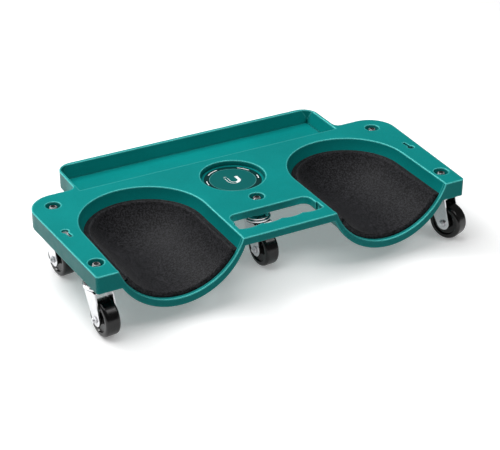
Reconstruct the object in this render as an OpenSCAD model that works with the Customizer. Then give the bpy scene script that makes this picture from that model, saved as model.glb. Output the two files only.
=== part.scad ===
// Kneeling creeper: a moulded deck with two deep knee cups and foam pads, a finger-grip
// handle slot, a magnetic parts dish, a rear tool tray and five swivel casters.
// Millimetres. +Z is up, the floor is z = 0, and the tool tray is towards +Y.

/* [Deck] */
// Height of the deck's top face above the floor
deck_height = 121; // [110:1:140]
// Depth of the skirt that stiffens the deck's edge
skirt_depth = 31; // [20:1:36]
// Thickness of the moulded top and skirt
wall = 4; // [3:0.5:6]
// Sideways distance to the centre of each rear shoulder
shoulder_x = 308.4; // [290:0.1:320]
// Radius of each rear shoulder
shoulder_r = 50; // [30:1:60]
// Angle by which the sides close in towards the front
toe_in = 2.4; // [0:0.1:5]
// Radius of the two front corners
corner_r = 5; // [4.5:0.5:10]

/* [Knee cups] */
// Sideways distance to the middle of each cup
cup_x = 199.5; // [190:0.5:210]
// Distance from the deck's front edge to the centre of the cup's round end
cup_y = 139.1; // [120:0.1:150]
// Radius of the cup's inner surface
cup_r = 115; // [100:0.5:120]
// Height of that radius's centre above the deck's top
cup_rise = 29.5; // [20:0.5:40]
// Width of the low lip across the front of each cup
lip_w = 6.6; // [4:0.1:10]
// Radius of the lip's upper edge
lip_r = 117; // [110:0.5:120]
// Height of the lip radius's centre above the deck's top
lip_rise = 38.5; // [30:0.5:45]

/* [Foam pads] */
// Radius of the pad's upper surface
pad_r = 106.5; // [100:0.5:110]
// Height of the pad radius's centre above the deck's top
pad_rise = 36; // [30:0.5:42]
// Drop from the deck's top to the pad's upper edge
pad_drop = 14; // [8:1:24]

/* [Tool tray] */
// Half of the tray's outside width
tray_x = 262; // [240:1:280]
// Distance from the deck's front edge to the tray's back
tray_rear = 386.6; // [370:0.1:400]
// Distance from the deck's front edge to the tray's front wall
tray_front = 280.2; // [275:0.1:290]
// Depth of the tray's floor below the deck's top
tray_depth = 25; // [15:1:27]
// Radius of the tray's outside corners
tray_corner_r = 30; // [15:1:40]

/* [Magnetic dish] */
// Distance from the deck's front edge to the dish's centre
dish_y = 205.1; // [190:0.1:215]
// Radius of the dish
dish_r = 57.4; // [40:0.1:60]
// Depth of the dish
dish_depth = 9; // [4:0.5:12]
// Radius of the magnet under the dish
magnet_r = 37; // [20:1:40]
// Thickness of the magnet
magnet_h = 6; // [3:0.5:8]

/* [Handle slot] */
// Half of the slot's width
slot_x = 77.5; // [50:0.5:80]
// Distance from the deck's front edge to the near side of the slot
slot_front = 31; // [25:0.5:35]
// Distance from the deck's front edge to the far side of the slot
slot_rear = 79.6; // [60:0.1:85]
// Depth of the wall around the slot and of the handle's front face
handle_depth = 14; // [10:1:20]
// Depth of each finger groove
finger_depth = 4; // [1:0.5:6]

/* [Casters] */
// Radius of the wheels
wheel_r = 31.75; // [25:0.25:38]
// Width of the tread
wheel_w = 26; // [20:0.5:30]
// Distance from the swivel axis to the axle
trail = 22; // [15:0.5:28]
// Radius of the threaded stem
stem_r = 4; // [3:0.5:6]
// Radius of the axle bolt
axle_r = 3; // [2.5:0.5:4]
// Radius of the nut recesses in the deck's top
recess_r = 13; // [11:0.5:14]
// Depth of the nut recesses
recess_depth = 12; // [10:0.5:15]

/* [Hidden] */
$fn = 96;
deck_color = [0.08, 0.55, 0.53];
foam_color = [0.08, 0.08, 0.09];
zinc_color = [0.75, 0.76, 0.78];
tyre_color = [0.05, 0.05, 0.05];

// The deck's front edge lies this far behind the origin, so the whole part is centred.
front_y = -188.2;
rear_y = shoulder_y() + shoulder_r;
fillet_r = 13;
edge_wall = 3;
eps = 1;

// Casters in the order front left, rear left, centre, front right, rear right
caster_at = [[-329.8, 44], [-318.7, 251.7], [0, 117.6], [329.8, 44], [318.7, 251.7]];
caster_turn = [4, 6, 4, 20, -8];

// Caster heights above the floor
race_top = deck_height - skirt_depth;
ball_r = 2.38;
ball_pitch_r = 16;
ball_count = 18;
ball_z = race_top - 6.9;
ring_top = ball_z - 1.1;
crown_top = ring_top - 3.5;
crown_h = 3;
crown_bottom = crown_top - crown_h;
groove_r = ball_r + 0.05;
leg_in = 14.2;
leg_h = 2.8;
leg_out = leg_in + leg_h;
leg_end_r = 12.5;
hub_half = 14;
stem_top = deck_height - 1.3;
boss_r = 16;

// Keyholes: wide end, narrow end
keyhole_left = [[-334.6, 160.1], [-332.4, 141.5]];
keyhole_right = [[337, 149.8], [335, 168.7]];

// Magnet cover
cover_z = deck_height - dish_depth - 2.5 - magnet_h - 0.2;
cover_h = 2;
cover_r = 54;
screw_pitch_r = 48;
screw_turns = [30, 150, 270];

function shoulder_y() = 239.6;
function side_normal() = [cos(toe_in), -sin(toe_in)];
function side_point(t) = [shoulder_x, shoulder_y()] + (shoulder_r - t) * side_normal();
function corner_x() = (side_normal() * side_point(0) - corner_r + sin(toe_in) * corner_r) / cos(toe_in);
function corner_side(t) = [corner_x(), corner_r] + (corner_r - t) * side_normal();

// Point where a line from p touches the circle at c with radius r, on side s
function touch(p, c, r, s) =
    let (v = p - c, a = atan2(v.y, v.x) + s * acos(r / norm(v)))
    c + r * [cos(a), sin(a)];

// ---------- outlines ----------

module both_sides() {
    children();
    mirror([1, 0]) children();
}

// Half of the deck's plan, drawn t inside its edge
module half_outline(t) {
    polygon([[-eps, t], [corner_x(), t], [corner_x(), corner_r], corner_side(t), side_point(t),
        [shoulder_x, shoulder_y()], [shoulder_x, rear_y - t], [-eps, rear_y - t]]);
    translate([corner_x(), corner_r]) circle(corner_r - t);
    translate([shoulder_x, shoulder_y()]) circle(shoulder_r - t);
    translate([-eps, shoulder_y()])
        square([tray_x - tray_corner_r + eps, tray_rear - t - shoulder_y()]);
    translate([-eps, shoulder_y()])
        square([tray_x - t + eps, tray_rear - tray_corner_r - shoulder_y()]);
    translate([tray_x - tray_corner_r, tray_rear - tray_corner_r]) circle(tray_corner_r - t);
    difference() {
        translate([tray_x - t - eps, rear_y - t - eps]) square(fillet_r + t + eps);
        translate([tray_x + fillet_r, rear_y + fillet_r]) circle(fillet_r + t);
    }
}

module outline(t = 0) {
    both_sides() half_outline(t);
}

// Handle slot, drawn t outside its edge, with four finger grooves on its near side
module slot_plan(t = 0) {
    r = 15;
    groove = (400 + finger_depth * finger_depth) / (2 * finger_depth);
    for (x = [-slot_x + r, slot_x - r], y = [slot_front + r, slot_rear - r])
        translate([x, y]) circle(r + t);
    translate([-slot_x + r, slot_front - t]) square([2 * (slot_x - r), slot_rear - slot_front + 2 * t]);
    translate([-slot_x - t, slot_front + r]) square([2 * (slot_x + t), slot_rear - slot_front - 2 * r]);
    for (x = [-60, -20, 20, 60])
        intersection() {
            translate([x, slot_front - finger_depth + groove]) circle(groove + t);
            translate([x - 20, slot_front - finger_depth - t - eps]) square([40, 25]);
        }
}

module keyhole(ends) {
    along = ends[1] - ends[0];
    translate(ends[0]) circle(6);
    translate(ends[1]) circle(2.6);
    translate(ends[0]) rotate(atan2(along.y, along.x)) translate([0, -2.5]) square([norm(along), 5]);
}

// ---------- knee cups ----------

// Section of a cup of radius r whose centre is rise above the deck, cut off at height top
module cup_section(r, rise, top, from_x) {
    intersection() {
        translate([0, rise]) circle(r);
        translate([from_x, -r]) square([r - from_x, r + top]);
    }
}

// Trough with a round rear end, from the distance y0 behind the deck's front edge
module cup_shape(r, rise, top, y0) {
    translate([0, cup_y, deck_height]) {
        rotate_extrude(angle = 180) cup_section(r, rise, top, 0);
        rotate([90, 0, 0]) linear_extrude(cup_y - y0) cup_section(r, rise, top, -r);
    }
}

module trough(r, rise, top, y0, y1) {
    translate([0, y1, deck_height]) rotate([90, 0, 0])
        linear_extrude(y1 - y0) cup_section(r, rise, top, -r);
}

module at_cups() {
    for (s = [-1, 1]) translate([s * cup_x, 0, 0]) children();
}

module pad_shape() {
    difference() {
        cup_shape(cup_r - 0.3, cup_rise, -pad_drop, lip_w + 0.4);
        cup_shape(pad_r, pad_rise, eps, lip_w);
    }
}

// ---------- deck ----------

module skirt() {
    translate([0, 0, deck_height - skirt_depth])
        difference() {
            linear_extrude(skirt_depth)
                difference() {
                    outline();
                    outline(wall);
                }
            translate([-100, -eps, -eps]) cube([200, wall + 2 * eps, skirt_depth - handle_depth + eps]);
        }
}

module tray_block() {
    translate([0, 0, deck_height - tray_depth - edge_wall])
        linear_extrude(tray_depth + edge_wall)
            intersection() {
                outline(eps);
                translate([-tray_x, tray_front - wall]) square([2 * tray_x, tray_rear - tray_front + wall]);
            }
}

// Hollow of the tray: its back and end walls lean outwards
module tray_hollow() {
    top_x = tray_x - 4.5;
    low_x = tray_x - 12;
    top_y = tray_rear - 5.6;
    low_y = tray_rear - 12.6;
    r = 22;
    z0 = deck_height - tray_depth;
    slope = (top_x - low_x) / tray_depth;
    intersection() {
        translate([0, 500, 0]) rotate([90, 0, 0]) linear_extrude(500)
            polygon([[-low_x, z0], [low_x, z0], [top_x + slope, deck_height + eps],
                [-top_x - slope, deck_height + eps]]);
        rotate([90, 0, 90]) translate([0, 0, -tray_x]) linear_extrude(2 * tray_x)
            polygon([[tray_front, z0], [low_y, z0], [top_y + slope, deck_height + eps],
                [tray_front, deck_height + eps]]);
        translate([0, 0, z0 - eps]) linear_extrude(tray_depth + 3 * eps) {
            translate([-top_x + r - eps, tray_front - eps]) square([2 * (top_x - r + eps), 120]);
            translate([-top_x - eps, tray_front - eps])
                square([2 * (top_x + eps), top_y - r - tray_front + eps]);
            both_sides() translate([top_x - r + eps, top_y - r]) circle(r);
        }
    }
}

module ribs() {
    h = 20;
    z = deck_height - h;
    for (y = [117.6, 140]) translate([-110, y - 1.5, z]) cube([220, 3, h]);
    translate([-1.5, slot_rear, z]) cube([3, 66, h]);
    for (s = [-1, 1], y = [96, 200]) translate([s * 325 - 24, y - 1.5, z]) cube([48, 3, h]);
    for (s = [-1, 1]) translate([s * 180 - 1.5, 240, z]) cube([3, 40, h]);
}

module bosses() {
    for (p = caster_at)
        translate([p.x, p.y, race_top]) cylinder(r = boss_r, h = deck_height - race_top);
}

module dish_block() {
    z = deck_height - dish_depth - 2.5;
    translate([0, dish_y, z]) cylinder(r = dish_r + edge_wall, h = dish_depth + 2.5);
    translate([0, dish_y, cover_z]) difference() {
        cylinder(r = magnet_r + edge_wall, h = z - cover_z + eps);
        translate([0, 0, -eps]) cylinder(r = magnet_r + 0.3, h = z - cover_z + eps);
    }
    for (a = screw_turns)
        translate([screw_pitch_r * cos(a), dish_y + screw_pitch_r * sin(a), cover_z])
            cylinder(r = 4.5, h = z - cover_z + eps);
}

module slot_wall() {
    translate([0, 0, deck_height - handle_depth]) linear_extrude(handle_depth) slot_plan(edge_wall);
}

module deck_cuts() {
    at_cups() cup_shape(cup_r, cup_rise, eps, lip_w);
    at_cups() trough(lip_r, lip_rise, eps, -eps, lip_w + eps);
    tray_hollow();
    translate([0, dish_y, deck_height - dish_depth]) cylinder(r = dish_r, h = dish_depth + eps);
    translate([0, 0, deck_height - skirt_depth - eps]) linear_extrude(skirt_depth + 2 * eps) {
        slot_plan();
        keyhole(keyhole_left);
        keyhole(keyhole_right);
    }
    for (p = caster_at) translate([p.x, p.y, 0]) {
        translate([0, 0, deck_height - recess_depth]) cylinder(r = recess_r, h = recess_depth + eps);
        translate([0, 0, race_top - eps]) cylinder(r = stem_r + 0.25, h = skirt_depth);
    }
    for (a = screw_turns)
        translate([screw_pitch_r * cos(a), dish_y + screw_pitch_r * sin(a), cover_z - eps])
            cylinder(r = 1.5, h = 6.5 + eps);
}

module deck() {
    color(deck_color) translate([0, front_y, 0]) difference() {
        union() {
            translate([0, 0, deck_height - wall]) linear_extrude(wall) outline();
            skirt();
            at_cups() cup_shape(cup_r + wall, cup_rise, 0, 0);
            at_cups() trough(cup_r + 7, cup_rise, 0, 0, lip_w);
            tray_block();
            dish_block();
            slot_wall();
            bosses();
            ribs();
        }
        deck_cuts();
    }
}

module knee_pad_left() {
    color(foam_color) translate([-cup_x, front_y, 0]) pad_shape();
}

module knee_pad_right() {
    color(foam_color) translate([cup_x, front_y, 0]) pad_shape();
}

// ---------- magnetic dish ----------

module magnet() {
    color(zinc_color) translate([0, front_y + dish_y, cover_z + 0.2]) cylinder(r = magnet_r, h = magnet_h);
}

module magnet_cover() {
    color(deck_color) translate([0, front_y + dish_y, cover_z - cover_h]) difference() {
        cylinder(r = cover_r, h = cover_h);
        for (a = screw_turns)
            translate([screw_pitch_r * cos(a), screw_pitch_r * sin(a), -eps])
                cylinder(r = 1.9, h = cover_h + 2 * eps);
    }
}

module cover_screws() {
    color(zinc_color) translate([0, front_y + dish_y, cover_z - cover_h])
        for (a = screw_turns)
            translate([screw_pitch_r * cos(a), screw_pitch_r * sin(a), 0]) {
                translate([0, 0, -2.2]) cylinder(r = 3.6, h = 2.2);
                translate([0, 0, -eps]) cylinder(r = 1.4, h = 8 + eps);
            }
}

module dish_label() {
    color([0.02, 0.35, 0.34]) translate([0, front_y + dish_y, deck_height - dish_depth])
        cylinder(r = 51, h = 0.4);
}

// ---------- caster hardware fixed to the deck ----------

module at_stems() {
    for (p = caster_at) translate([p.x, p.y + front_y, 0]) children();
}

module caster_stems() {
    color(zinc_color) at_stems() {
        translate([0, 0, crown_bottom - 3]) cylinder(r = 8, h = 2.9);
        translate([0, 0, crown_bottom - 1]) cylinder(r = stem_r, h = stem_top - crown_bottom + 1);
    }
}

module stem_washers() {
    color(zinc_color) at_stems() translate([0, 0, deck_height - recess_depth]) difference() {
        cylinder(r = 10, h = 1.6);
        translate([0, 0, -eps]) cylinder(r = stem_r + 0.3, h = 1.6 + 2 * eps);
    }
}

// Hexagon across flats, with a round locking collar and a bore
module lock_nut(flats, bore_r, h, collar_r, collar_h) {
    difference() {
        union() {
            cylinder(r = flats / 2 / cos(30), h = h, $fn = 6);
            translate([0, 0, h - eps]) cylinder(r = collar_r, h = collar_h + eps);
        }
        translate([0, 0, -eps]) cylinder(r = bore_r, h = h + collar_h + 2 * eps);
    }
}

module stem_nuts() {
    color(zinc_color) at_stems() translate([0, 0, deck_height - recess_depth + 1.6])
        lock_nut(13, stem_r + 0.02, 6, 5.9, 2);
}

module upper_races() {
    color(zinc_color) at_stems() difference() {
        rotate_extrude() polygon([[stem_r + 0.2, race_top], [19, race_top], [21.5, race_top - 2.5],
            [21.5, race_top - 4.8], [24, race_top - 5.6], [24, race_top - 8.4], [21.3, race_top - 8.4],
            [21.3, race_top - 5.8], [stem_r + 0.2, race_top - 5.8]]);
        rotate_extrude() translate([ball_pitch_r, ball_z]) circle(groove_r);
    }
}

// ---------- one caster ----------

module at_caster(i) {
    translate([caster_at[i].x, caster_at[i].y + front_y, 0]) rotate([0, 0, caster_turn[i]]) children();
}

// Side view of a fork leg, in the plane across the axle
module leg_plan() {
    axle = [-trail, wheel_r];
    front = [-trail, crown_top];
    rear = [19, crown_top];
    polygon([front, rear, touch(rear, axle, leg_end_r, -1), axle, touch(front, axle, leg_end_r, 1)]);
    translate(axle) circle(leg_end_r);
}

module fork(i) {
    color(zinc_color) at_caster(i) difference() {
        union() {
            for (x = [-leg_out, leg_in]) translate([x, 0, 0])
                rotate([90, 0, 90]) linear_extrude(leg_h) leg_plan();
            translate([0, 0, crown_bottom]) linear_extrude(crown_h) {
                circle(21);
                translate([-leg_out, -trail]) square([2 * leg_out, trail + 19]);
            }
            translate([0, 0, crown_top - eps]) cylinder(r = 20.5, h = ring_top - crown_top + eps);
        }
        translate([0, 0, crown_top]) cylinder(r = 11, h = ring_top);
        rotate_extrude() translate([ball_pitch_r, ball_z]) circle(groove_r);
        cylinder(r = stem_r + 0.06, h = deck_height);
        translate([-leg_out - eps, -trail, wheel_r]) rotate([0, 90, 0])
            cylinder(r = axle_r + 0.03, h = 2 * leg_out + 2 * eps);
    }
}

module balls(i) {
    color(zinc_color) at_caster(i)
        for (k = [0:ball_count - 1]) rotate([0, 0, k * 360 / ball_count])
            translate([ball_pitch_r, 0, ball_z]) sphere(ball_r);
}

module at_axle(i) {
    at_caster(i) translate([0, -trail, wheel_r]) rotate([0, 90, 0]) children();
}

module axle_bolt(i) {
    color(zinc_color) at_axle(i) {
        translate([0, 0, -leg_out - 6.6]) cylinder(r = axle_r, h = 2 * leg_out + 6.7);
        translate([0, 0, leg_out]) cylinder(r = 5 / cos(30), h = 4, $fn = 6);
    }
}

module axle_nut(i) {
    color(zinc_color) at_axle(i) translate([0, 0, -leg_out]) rotate([180, 0, 0])
        lock_nut(10, axle_r + 0.02, 4, 4.4, 1.6);
}

// Wheel section: radius along X, width along Y
module wheel_section() {
    half = wheel_w / 2;
    r = 5;
    difference() {
        union() {
            translate([5, -half]) square([wheel_r - r - 5, wheel_w]);
            translate([5, r - half]) square([wheel_r - 5, wheel_w - 2 * r]);
            for (s = [-1, 1]) translate([wheel_r - r, s * (half - r)]) circle(r);
            translate([5, 0.2 - hub_half]) square([5, 2 * hub_half - 0.4]);
        }
        for (s = [-1, 1])
            polygon([[10, s * (half + eps)], [10, s * (half - 4)], [22, s * (half - 3)],
                [24, s * (half + eps)]]);
    }
}

module wheel(i) {
    color(tyre_color) at_axle(i) rotate_extrude() wheel_section();
}

module bushing(i) {
    color(zinc_color) at_axle(i) translate([0, 0, -hub_half]) difference() {
        cylinder(r = 4.98, h = 2 * hub_half);
        translate([0, 0, -eps]) cylinder(r = axle_r + 0.05, h = 2 * hub_half + 2 * eps);
    }
}

deck();
knee_pad_left();
knee_pad_right();
magnet();
magnet_cover();
cover_screws();
dish_label();
caster_stems();
stem_nuts();
stem_washers();
upper_races();
fork(0);  // fork_fl
balls(0);  // balls_fl
axle_bolt(0);  // axle_bolt_fl
axle_nut(0);  // axle_nut_fl
wheel(0);  // wheel_fl
bushing(0);  // bushing_fl
fork(1);  // fork_rl
balls(1);  // balls_rl
axle_bolt(1);  // axle_bolt_rl
axle_nut(1);  // axle_nut_rl
wheel(1);  // wheel_rl
bushing(1);  // bushing_rl
fork(2);  // fork_c
balls(2);  // balls_c
axle_bolt(2);  // axle_bolt_c
axle_nut(2);  // axle_nut_c
wheel(2);  // wheel_c
bushing(2);  // bushing_c
fork(3);  // fork_fr
balls(3);  // balls_fr
axle_bolt(3);  // axle_bolt_fr
axle_nut(3);  // axle_nut_fr
wheel(3);  // wheel_fr
bushing(3);  // bushing_fr
fork(4);  // fork_rr
balls(4);  // balls_rr
axle_bolt(4);  // axle_bolt_rr
axle_nut(4);  // axle_nut_rr
wheel(4);  // wheel_rr
bushing(4);  // bushing_rr
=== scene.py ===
"""Kneeling creeper: materials, foam pads, dish marks, floor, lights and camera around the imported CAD."""
import math

import bpy
from mathutils import Matrix, Vector


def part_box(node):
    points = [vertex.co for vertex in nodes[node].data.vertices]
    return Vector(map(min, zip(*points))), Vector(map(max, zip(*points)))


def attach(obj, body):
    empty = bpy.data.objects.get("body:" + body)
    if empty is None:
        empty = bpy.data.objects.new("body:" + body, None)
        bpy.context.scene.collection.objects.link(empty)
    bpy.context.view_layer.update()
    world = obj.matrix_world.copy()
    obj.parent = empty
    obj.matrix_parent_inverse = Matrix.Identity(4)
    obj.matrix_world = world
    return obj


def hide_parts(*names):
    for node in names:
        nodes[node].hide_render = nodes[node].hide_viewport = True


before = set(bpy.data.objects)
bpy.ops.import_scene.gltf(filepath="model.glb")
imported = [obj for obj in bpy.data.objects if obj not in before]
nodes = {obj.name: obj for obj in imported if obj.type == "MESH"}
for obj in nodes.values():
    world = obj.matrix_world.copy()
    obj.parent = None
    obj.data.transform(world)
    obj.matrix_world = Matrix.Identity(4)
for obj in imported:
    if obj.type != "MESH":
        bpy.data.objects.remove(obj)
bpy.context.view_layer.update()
MM = 0.001
DECK_BODY = "deck_assembly"
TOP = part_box("deck")[1].z


# ---------- shader helpers ----------


class Shader:
    """A material with a Principled shader and short calls for the nodes that feed it."""

    def __init__(self, name, **values):
        self.mat = bpy.data.materials.new(name)
        self.mat.use_nodes = True
        self.tree = self.mat.node_tree
        self.bsdf = self.tree.nodes["Principled BSDF"]
        for key, value in values.items():
            self.bsdf.inputs[key.replace("_", " ")].default_value = value
        self.coords = self.tree.nodes.new("ShaderNodeTexCoord").outputs["Object"]

    def node(self, kind, **props):
        made = self.tree.nodes.new(kind)
        for key, value in props.items():
            setattr(made, key, value)
        return made

    def link(self, a, b):
        self.tree.links.new(a, b)

    def feed(self, source, socket):
        """Links source to socket, or sets the socket where source is a plain value."""
        if isinstance(source, bpy.types.NodeSocket):
            self.link(source, socket)
        else:
            socket.default_value = source

    def noise(self, scale, detail=3.0, rough=0.5):
        n = self.node("ShaderNodeTexNoise")
        n.inputs["Scale"].default_value = scale
        n.inputs["Detail"].default_value = detail
        n.inputs["Roughness"].default_value = rough
        self.link(self.coords, n.inputs["Vector"])
        return n.outputs["Fac"]

    def cells(self, scale):
        """Distance to the nearest cell centre."""
        n = self.node("ShaderNodeTexVoronoi")
        n.inputs["Scale"].default_value = scale
        self.link(self.coords, n.inputs["Vector"])
        return n.outputs["Distance"]

    def math(self, op, a, b=0.0):
        n = self.node("ShaderNodeMath", operation=op)
        self.feed(a, n.inputs[0])
        self.feed(b, n.inputs[1])
        return n.outputs[0]

    def remap(self, source, lo, hi, to_lo, to_hi):
        """Carries lo..hi over to to_lo..to_hi, and holds the ends beyond them."""
        n = self.node("ShaderNodeMapRange")
        for i, value in enumerate((lo, hi, to_lo, to_hi)):
            n.inputs[i + 1].default_value = value
        self.link(source, n.inputs[0])
        return n.outputs[0]

    def mix(self, factor, a, b):
        """Blends two colours, each a socket or three numbers, from a at 0 to b at 1."""
        n = self.node("ShaderNodeMix", data_type="RGBA")
        self.feed(factor, n.inputs["Factor"])
        for source, socket in ((a, n.inputs[6]), (b, n.inputs[7])):
            self.feed(source if isinstance(source, bpy.types.NodeSocket) else (*source, 1.0), socket)
        return n.outputs[2]

    def color(self, source):
        self.feed(source, self.bsdf.inputs["Base Color"])

    def rough(self, source):
        self.feed(source, self.bsdf.inputs["Roughness"])

    def bump(self, height, distance, strength, edge=0.0):
        """Bump from a height, over edges rounded to the radius edge."""
        n = self.node("ShaderNodeBump")
        n.inputs["Strength"].default_value = strength
        n.inputs["Distance"].default_value = distance
        self.link(height, n.inputs["Height"])
        if edge:
            self.link(self.rounded(edge), n.inputs["Normal"])
        self.link(n.outputs[0], self.bsdf.inputs["Normal"])

    def rounded(self, edge):
        """The normal, as if every edge were rounded to the radius edge."""
        n = self.node("ShaderNodeBevel", samples=6)
        n.inputs["Radius"].default_value = edge
        return n.outputs[0]

    def edge_highlight_mask(self, edge):
        """1 on sharp edges and 0 away from them."""
        geo = self.node("ShaderNodeNewGeometry")
        dot = self.node("ShaderNodeVectorMath", operation="DOT_PRODUCT")
        self.link(self.rounded(edge), dot.inputs[0])
        self.link(geo.outputs["Normal"], dot.inputs[1])
        return self.remap(dot.outputs["Value"], 0.998, 0.93, 0.0, 1.0)

    def facing(self, edge, way, lo, hi, least):
        """From least to 1 as the rounded normal turns towards the direction way."""
        dot = self.node("ShaderNodeVectorMath", operation="DOT_PRODUCT")
        self.link(self.rounded(edge), dot.inputs[0])
        dot.inputs[1].default_value = Vector(way).normalized()
        return self.remap(dot.outputs["Value"], lo, hi, least, 1.0)

    def openness(self, reach, local=True):
        """1 on open surface and outer edges, lower in inner corners closer than reach."""
        n = self.node("ShaderNodeAmbientOcclusion", samples=8, only_local=local)
        n.inputs["Distance"].default_value = reach
        return n.outputs["AO"]


# ---------- materials ----------


def deck_plastic():
    """Moulded teal plastic: grain and blotches, painted highlights on edges, painted shade in inner
    corners and on side walls.
    """
    highlight_edge, wall_edge, soft_edge = 4.2 * MM, 3.4 * MM, 2.8 * MM
    s = Shader("deck_plastic", Specular_IOR_Level=0.13, Specular_Tint=(0.25, 1.0, 0.96, 1.0))
    blotch = s.remap(s.noise(9.0, 4.0), 0.35, 0.65, 0.0, 1.0)
    speck = s.remap(s.noise(560.0, 3.0, 0.75), 0.35, 0.65, 0.0, 1.0)
    base = s.mix(blotch, (0.001, 0.190, 0.183), (0.0015, 0.222, 0.214))
    base = s.mix(s.math("MULTIPLY", speck, 0.30), base, (0.008, 0.34, 0.325))
    open_to = s.openness(7 * MM)
    # Painted highlight: a bright teal line on convex edges, strongest where they face front left and up.
    edge = s.math("MULTIPLY", s.edge_highlight_mask(highlight_edge), s.remap(open_to, 0.75, 0.92, 0.0, 0.95))
    edge = s.math("MULTIPLY", edge, s.facing(highlight_edge, (-0.5, -0.5, 0.71), 0.35, 0.85, 0.12))
    base = s.mix(edge, base, (0.16, 0.80, 0.76))
    # Painted shade: side walls and undersides darker, by up to half where nothing stands close, except on
    # the highlighted edges.
    wall_shade_mask = s.facing(wall_edge, (0, 0, -1), -0.75, -0.1, 0.0)
    outer = s.math("MULTIPLY", wall_shade_mask, s.remap(s.openness(50 * MM), 0.92, 0.99, 0.0, 0.5))
    base = s.mix(s.math("MULTIPLY", outer, s.math("SUBTRACT", 1.0, edge)), base, (0.0005, 0.020, 0.020))
    # Painted shade: inner corners and recesses darker.
    s.color(s.mix(s.remap(open_to, 0.45, 0.88, 0.90, 0.0), base, (0.0005, 0.030, 0.029)))
    s.rough(s.remap(s.noise(60.0, 3.0), 0.3, 0.7, 0.32, 0.42))
    grain = s.math("ADD", s.noise(1500.0, 2.0, 0.6), s.math("MULTIPLY", s.noise(420.0, 2.0), 0.6))
    s.bump(grain, 0.1 * MM, 0.30, edge=soft_edge)
    return s.mat


def foam():
    """Black closed-cell foam with a fine speckle and open pores."""
    s = Shader("foam", Specular_IOR_Level=0.13)
    grain = s.noise(340.0, 4.0, 0.8)
    pore = s.remap(s.cells(900.0), 0.0, 0.5, 0.0, 1.0)
    base = s.mix(s.remap(grain, 0.45, 0.57, 0.0, 1.0), (0.0004, 0.0004, 0.0007), (0.032, 0.032, 0.036))
    s.color(s.mix(s.math("MULTIPLY", s.noise(14.0, 4.0), 0.25), base, (0.010, 0.010, 0.012)))
    s.rough(s.remap(grain, 0.35, 0.65, 0.42, 0.62))
    s.bsdf.inputs["Sheen Weight"].default_value = 0.04
    s.bsdf.inputs["Sheen Roughness"].default_value = 0.4
    height = s.math("ADD", s.math("MULTIPLY", grain, 0.7), s.math("MULTIPLY", pore, 0.5))
    s.bump(height, 0.8 * MM, 0.6)
    return s.mat


def plated(name, tone, rough_lo, rough_hi, edge, shade=0.9):
    """Bright zinc or steel with fine grain and stains, and painted shade, up to shade, near other pieces
    and where they touch.
    """
    s = Shader(name, Metallic=1.0)
    fine = s.noise(700.0)
    stain = s.remap(s.noise(70.0, 4.0), 0.35, 0.7, 0.0, 1.0)
    dark = tuple(0.72 * c for c in tone)
    plate = s.mix(s.math("MULTIPLY", stain, 0.4), tone, dark)
    # Painted shade: darker near other pieces, and darker still where they touch.
    shaded = s.remap(s.openness(30 * MM, local=False), 0.25, 0.8, shade, 0.0)
    contact_shade = s.remap(s.openness(4 * MM, local=False), 0.35, 0.9, 0.85, 0.0)
    s.color(s.mix(s.math("MAXIMUM", shaded, contact_shade), plate, (0.03, 0.03, 0.033)))
    s.rough(s.remap(fine, 0.3, 0.7, rough_lo, rough_hi))
    s.bump(fine, 0.04 * MM, 0.35, edge=edge)
    return s.mat


def threaded_zinc():
    """Zinc with a fine thread around the Z axis, with painted shade in its grooves and painted highlight
    on its ridges.
    """
    pitch = 1.25 * MM
    s = Shader("threaded_zinc", Metallic=1.0)
    split = s.node("ShaderNodeSeparateXYZ")
    s.link(s.coords, split.inputs[0])
    turn = s.math("SINE", s.math("MULTIPLY", split.outputs["Z"], 2 * math.pi / pitch))
    # Painted shade and highlight: darker in the thread's grooves, lighter on its ridges.
    s.color(s.mix(s.remap(turn, -1.0, 1.0, 0.0, 1.0), (0.08, 0.08, 0.085), (0.40, 0.40, 0.41)))
    s.rough(s.remap(s.noise(400.0), 0.3, 0.7, 0.22, 0.36))
    s.bump(turn, 0.3 * MM, 0.8, edge=0.3 * MM)
    return s.mat


def wheel_plastic():
    """Glossy black nylon with a trace of dust."""
    s = Shader("wheel_plastic", Specular_IOR_Level=0.4)
    dust = s.remap(s.noise(45.0, 5.0, 0.6), 0.45, 0.75, 0.0, 1.0)
    s.color(s.mix(s.math("MULTIPLY", dust, 0.2), (0.001, 0.001, 0.0012), (0.006, 0.006, 0.0066)))
    s.rough(s.remap(s.noise(160.0, 4.0), 0.3, 0.7, 0.16, 0.27))
    s.bump(s.noise(500.0, 2.0), 0.05 * MM, 0.3, edge=0.8 * MM)
    return s.mat


def ferrite():
    """Dull grey sintered magnet."""
    s = Shader("ferrite", Metallic=0.2)
    grain = s.noise(600.0, 4.0, 0.7)
    s.color(s.mix(grain, (0.02, 0.02, 0.021), (0.06, 0.06, 0.062)))
    s.rough(s.remap(grain, 0.3, 0.7, 0.45, 0.65))
    s.bump(grain, 0.1 * MM, 0.5)
    return s.mat


def ink(name, tone):
    """Printed ink, a little uneven."""
    s = Shader(name, Specular_IOR_Level=0.4)
    patch = s.remap(s.noise(500.0, 3.0), 0.35, 0.65, 0.0, 1.0)
    s.color(s.mix(s.math("MULTIPLY", patch, 0.2), tone, tuple(0.7 * c for c in tone)))
    s.rough(s.remap(patch, 0.0, 1.0, 0.35, 0.5))
    return s.mat


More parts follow.
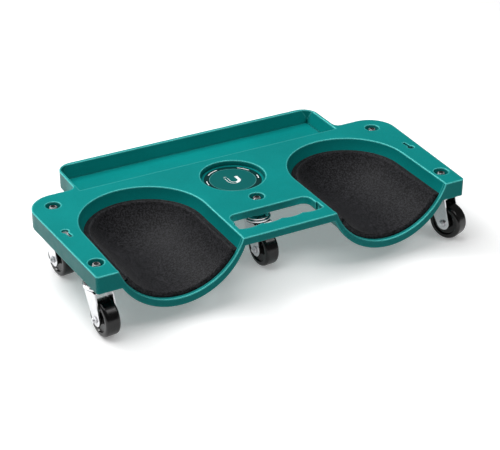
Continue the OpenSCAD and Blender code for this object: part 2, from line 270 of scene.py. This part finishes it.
def label_plastic():
    """Film label: a teal disc inside a darker band."""
    s = Shader("label_plastic", Specular_IOR_Level=0.15)
    lo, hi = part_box("dish_label")
    split = s.node("ShaderNodeSeparateXYZ")
    s.link(s.coords, split.inputs[0])
    x = s.math("SUBTRACT", split.outputs["X"], (lo.x + hi.x) / 2)
    y = s.math("SUBTRACT", split.outputs["Y"], (lo.y + hi.y) / 2)
    radius = s.math("SQRT", s.math("ADD", s.math("MULTIPLY", x, x), s.math("MULTIPLY", y, y)))
    rim = s.remap(radius, 40.5 * MM, 41.0 * MM, 0.0, 1.0)
    tone = s.mix(s.noise(30.0, 3.0), (0.001, 0.100, 0.096), (0.002, 0.120, 0.115))
    s.color(s.mix(rim, tone, (0.001, 0.030, 0.029)))
    s.rough(s.remap(s.noise(200.0, 3.0), 0.3, 0.7, 0.28, 0.40))
    s.bump(s.noise(900.0, 2.0), 0.04 * MM, 0.4)
    return s.mat


def paint(mat, *names):
    """Gives every named CAD node that material."""
    for name in names:
        slots = nodes[name].data.materials
        slots.clear()
        slots.append(mat)


def with_prefix(prefix):
    return [n for n in nodes if n.startswith(prefix)]


fork_mat = plated("plated_fork", (0.80, 0.80, 0.82), 0.14, 0.24, 0.8 * MM)
zinc_mat = plated("zinc_hardware", (0.88, 0.88, 0.90), 0.30, 0.42, 0.4 * MM, shade=0.1)
steel_mat = plated("bearing_steel", (0.62, 0.62, 0.64), 0.10, 0.20, 0.0)
paint(deck_plastic(), "deck", "magnet_cover")
paint(ferrite(), "magnet")
paint(label_plastic(), "dish_label")
paint(zinc_mat, "cover_screws", "stem_nuts", "stem_washers")
paint(zinc_mat, *with_prefix("axle_bolt"), *with_prefix("axle_nut"))
paint(threaded_zinc(), "caster_stems")
paint(fork_mat, "upper_races", *with_prefix("fork"))
paint(steel_mat, *with_prefix("balls"), *with_prefix("bushing"))
paint(wheel_plastic(), *with_prefix("wheel"))


# ---------- mesh helpers ----------


def mesh_object(name, verts, faces, mat, smooth=True):
    """Adds an object with that mesh and material to the scene."""
    data = bpy.data.meshes.new(name)
    data.from_pydata(verts, [], faces)
    data.validate()
    data.materials.append(mat)
    for p in data.polygons:
        p.use_smooth = smooth
    made = bpy.data.objects.new(name, data)
    bpy.context.scene.collection.objects.link(made)
    return made


# ---------- foam pads ----------

PAD_R, PAD_RISE = 106.5 * MM, 36 * MM          # pad's top surface: radius, and centre above the deck
SHELL_R, SHELL_RISE = 114.6 * MM, 29.5 * MM    # the same for its underside, on the cup
CUP_END_Y = -49.1 * MM                         # where the straight sides meet the round rear


def arc_points(a, b, centre, n):
    """n + 1 points from a to b along the circle round centre, the short way."""
    t0 = math.atan2(a[1] - centre[1], a[0] - centre[0])
    t1 = math.atan2(b[1] - centre[1], b[0] - centre[0])
    r0, r1 = math.dist(a, centre), math.dist(b, centre)
    out = []
    for i in range(n + 1):
        f = i / n
        t, r = t0 + (t1 - t0) * f, r0 + (r1 - r0) * f
        out.append((centre[0] + r * math.cos(t), centre[1] + r * math.sin(t)))
    return out


def pad_profile():
    """Section of the pad from its middle outwards, as (distance from the middle, height)."""
    top_c, low_c = (0, TOP + PAD_RISE), (0, TOP + SHELL_RISE)
    rim_in, rim_out = 91.0 * MM, 103.2 * MM
    top_mid = (0, top_c[1] - PAD_R)
    top_rim = (rim_in, top_c[1] - math.sqrt(PAD_R**2 - rim_in**2))
    low_rim = (rim_out, low_c[1] - math.sqrt(SHELL_R**2 - rim_out**2))
    low_mid = (0, low_c[1] - SHELL_R)
    shoulder = [
        (rim_in + 1.3 * MM, top_rim[1] + 1.2 * MM),
        (rim_in + 2.5 * MM, top_rim[1] + 1.5 * MM),
        (rim_in + 3.6 * MM, top_rim[1] + 0.9 * MM),
        (rim_in + 4.7 * MM, top_rim[1] - 0.7 * MM),
        (rim_in + 7.2 * MM, top_rim[1] - 4.4 * MM),
    ]
    return arc_points(top_mid, top_rim, top_c, 40) + shoulder + arc_points(low_rim, low_mid, low_c, 45)


def shrunk(profile, inset):
    """The profile drawn inset inside itself, with its two ends kept on the middle line."""
    out = []
    for i, p in enumerate(profile):
        a = profile[max(i - 1, 0)]
        b = profile[min(i + 1, len(profile) - 1)]
        tx, ty = b[0] - a[0], b[1] - a[1]
        size = math.hypot(tx, ty)
        out.append((p[0] + inset * ty / size if 0 < i < len(profile) - 1 else 0.0,
                    p[1] - inset * tx / size))
    return out


def pad_rays(front_y):
    """Rays of the pad as (origin y, angle, inset), round from the front right to the front left."""
    edge = 3.2 * MM
    nose = [(front_y + edge * (1 - math.cos(math.radians(a))), edge * (1 - math.sin(math.radians(a))))
            for a in (0, 18, 36, 54, 72, 90)]
    start = nose[-1][0]
    straight = nose[:-1] + [(start + (CUP_END_Y - start) * k / 30, 0.0) for k in range(31)]
    rays = [(y, 0.0, inset) for y, inset in straight]
    rays += [(CUP_END_Y, math.pi * k / 60, 0.0) for k in range(1, 60)]
    rays += [(y, math.pi, inset) for y, inset in reversed(straight)]
    return rays


def knee_pad(name, cup_x, front_y):
    """Closed pad: the profile swept along the rays, and a crescent cap on each front end."""
    profile = pad_profile()
    rays = pad_rays(front_y)
    verts, faces = [], []
    for y, angle, inset in rays:
        for d, z in shrunk(profile, inset):
            verts.append((cup_x + d * math.cos(angle), y + d * math.sin(angle), z))
    n = len(profile)
    for j in range(len(rays) - 1):
        for i in range(n - 1):
            a = j * n + i
            faces.append((a, a + 1, a + 1 + n, a + n))
    last = (len(rays) - 1) * n
    for i in range(n // 2 - 1):
        j = n - 1 - i
        faces.append((i, j, j - 1, i + 1))
        faces.append((last + i, last + i + 1, last + j - 1, last + j))
    made = mesh_object(name, verts, faces, foam_mat)
    weld = made.modifiers.new("weld", "WELD")
    weld.merge_threshold = 1e-6
    return made


foam_mat = foam()
for side, node in ((-1, "knee_pad_left"), (1, "knee_pad_right")):
    lo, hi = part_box(node)
    pad = knee_pad("foam_" + node, (lo.x + hi.x) / 2, lo.y)
    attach(pad, DECK_BODY)
    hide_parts(node)


# ---------- marks on the dish label ----------

INK_H = 0.12 * MM


def flat_piece(name, outlines, mat, z):
    """Thin raised ink: each outline is a closed loop of points, extruded up from z."""
    verts, faces = [], []
    for loop in outlines:
        base, n = len(verts), len(loop)
        verts += [(x, y, z) for x, y in loop] + [(x, y, z + INK_H) for x, y in loop]
        faces.append(tuple(base + n + i for i in range(n)))
        faces.append(tuple(base + i for i in reversed(range(n))))
        faces += [(base + i, base + (i + 1) % n, base + n + (i + 1) % n, base + n + i) for i in range(n)]
    made = mesh_object(name, verts, faces, mat, smooth=False)
    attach(made, DECK_BODY)


def quads(centre, r0, r1, a0, a1, parts):
    """A ring sector between two angles in degrees, as several convex four-sided outlines."""
    def at(r, k):
        a = math.radians(a0 + (a1 - a0) / parts * k)
        return centre[0] + r * math.cos(a), centre[1] + r * math.sin(a)

    return [[at(r0, k + 1), at(r0, k), at(r1, k), at(r1, k + 1)] for k in range(parts)]


def rect(centre, x0, y0, x1, y1):
    """Outline of a rectangle, its corners measured from centre."""
    return [(centre[0] + x, centre[1] + y) for x, y in ((x0, y0), (x1, y0), (x1, y1), (x0, y1))]


def dish_marks():
    """Thin ring, plain dashes round it, and a horseshoe magnet half filled and half outlined."""
    lo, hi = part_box("dish_label")
    c = ((lo.x + hi.x) / 2, (lo.y + hi.y) / 2)
    z = hi.z
    white = ink("white_ink", (0.86, 0.90, 0.90))
    pale = ink("pale_ink", (0.10, 0.36, 0.35))
    flat_piece("label_ring", quads(c, 40.6 * MM, 41.2 * MM, 0, 360, 120), pale, z)
    dashes = []
    for a0, a1 in ((100, 132), (24, 52), (160, 178), (196, 222), (340, 356)):
        dashes += quads(c, 45.2 * MM, 46.8 * MM, a0, a1, 10)
    flat_piece("label_dashes", dashes, white, z)
    bend = (c[0] + 1 * MM, c[1] - 2 * MM)
    outer, inner, leg, thin = 12.3 * MM, 6.6 * MM, 11.5 * MM, 1.0 * MM
    filled = quads(bend, inner, outer, 270, 360, 14) + [rect(bend, inner, 0, outer, leg)]
    outlined = quads(bend, outer - thin, outer, 180, 270, 14)
    outlined += quads(bend, inner, inner + thin, 180, 270, 14)
    outlined += [rect(bend, -outer, 0, thin - outer, leg), rect(bend, -inner - thin, 0, -inner, leg)]
    flat_piece("label_magnet_mark", filled + outlined, white, z)
    field = (c[0] - 8.4 * MM, c[1] + 11.4 * MM)
    flat_piece("label_field_mark", quads(field, 2.6 * MM, 3.5 * MM, 20, 160, 10), white, z)


dish_marks()


# ---------- floor, lights and camera ----------


def floor():
    """Pale floor that gives off a little light, which keeps its shadow soft and pale."""
    s = Shader("floor", Specular_IOR_Level=0.1)
    s.color(s.mix(s.noise(3.0, 3.0), (0.93, 0.93, 0.93), (0.95, 0.95, 0.95)))
    s.rough(0.85)
    s.bsdf.inputs["Emission Color"].default_value = (1, 1, 1, 1)
    s.bsdf.inputs["Emission Strength"].default_value = 0.25
    half = 6.0
    corners = [(-half, -half, 0), (half, -half, 0), (half, half, 0), (-half, half, 0)]
    mesh_object("floor", corners, [(0, 1, 2, 3)], s.mat, smooth=False)


def softbox(name, way, distance, size, power):
    """A rectangular light in the direction way from the object's middle, facing it."""
    data = bpy.data.lights.new(name, "AREA")
    data.shape, data.energy = "RECTANGLE", power
    data.size, data.size_y = size
    made = bpy.data.objects.new(name, data)
    made.location = Vector((0, 0, 0.06)) + Vector(way).normalized() * distance
    made.rotation_euler = Vector(way).to_track_quat("Z", "Y").to_euler()
    bpy.context.scene.collection.objects.link(made)


def lights():
    """Grey surroundings, a wide light overhead, a small one in front and one behind."""
    world = bpy.data.worlds.new("studio")
    world.use_nodes = True
    back = world.node_tree.nodes["Background"]
    back.inputs["Color"].default_value = (1, 1, 1, 1)
    back.inputs["Strength"].default_value = 0.14
    bpy.context.scene.world = world
    softbox("overhead", (-0.32, 0.2, 1), 2.2, (2.4, 2.4), 51)
    softbox("key", (0.42, -0.50, 0.765), 2.6, (0.9, 0.9), 11)
    softbox("rim", (-0.30, 0.6, 0.74), 2.6, (1.2, 0.6), 22)


def camera():
    """A long lens from the front left and above, aimed at the deck's front left."""
    distance = 2.4701
    az, el, roll = math.radians(-28.637), math.radians(29.311), math.radians(0.105)
    target = Vector((-58.5 * MM, -153.6 * MM, TOP))
    back = Vector((math.sin(az) * math.cos(el), -math.cos(az) * math.cos(el), math.sin(el)))
    data = bpy.data.cameras.new("camera")
    data.sensor_width, data.lens = 36.0, 107.91
    data.clip_start, data.clip_end = 0.1, 50.0
    made = bpy.data.objects.new("camera", data)
    turn = (-back).to_track_quat("-Z", "Y").to_matrix().to_4x4()
    place = Matrix.Translation(target + back * distance)
    made.matrix_world = place @ turn @ Matrix.Rotation(roll, 4, "Z")
    bpy.context.scene.collection.objects.link(made)
    bpy.context.scene.camera = made


floor()
lights()
camera()
bpy.context.scene.view_settings.view_transform = "Standard"
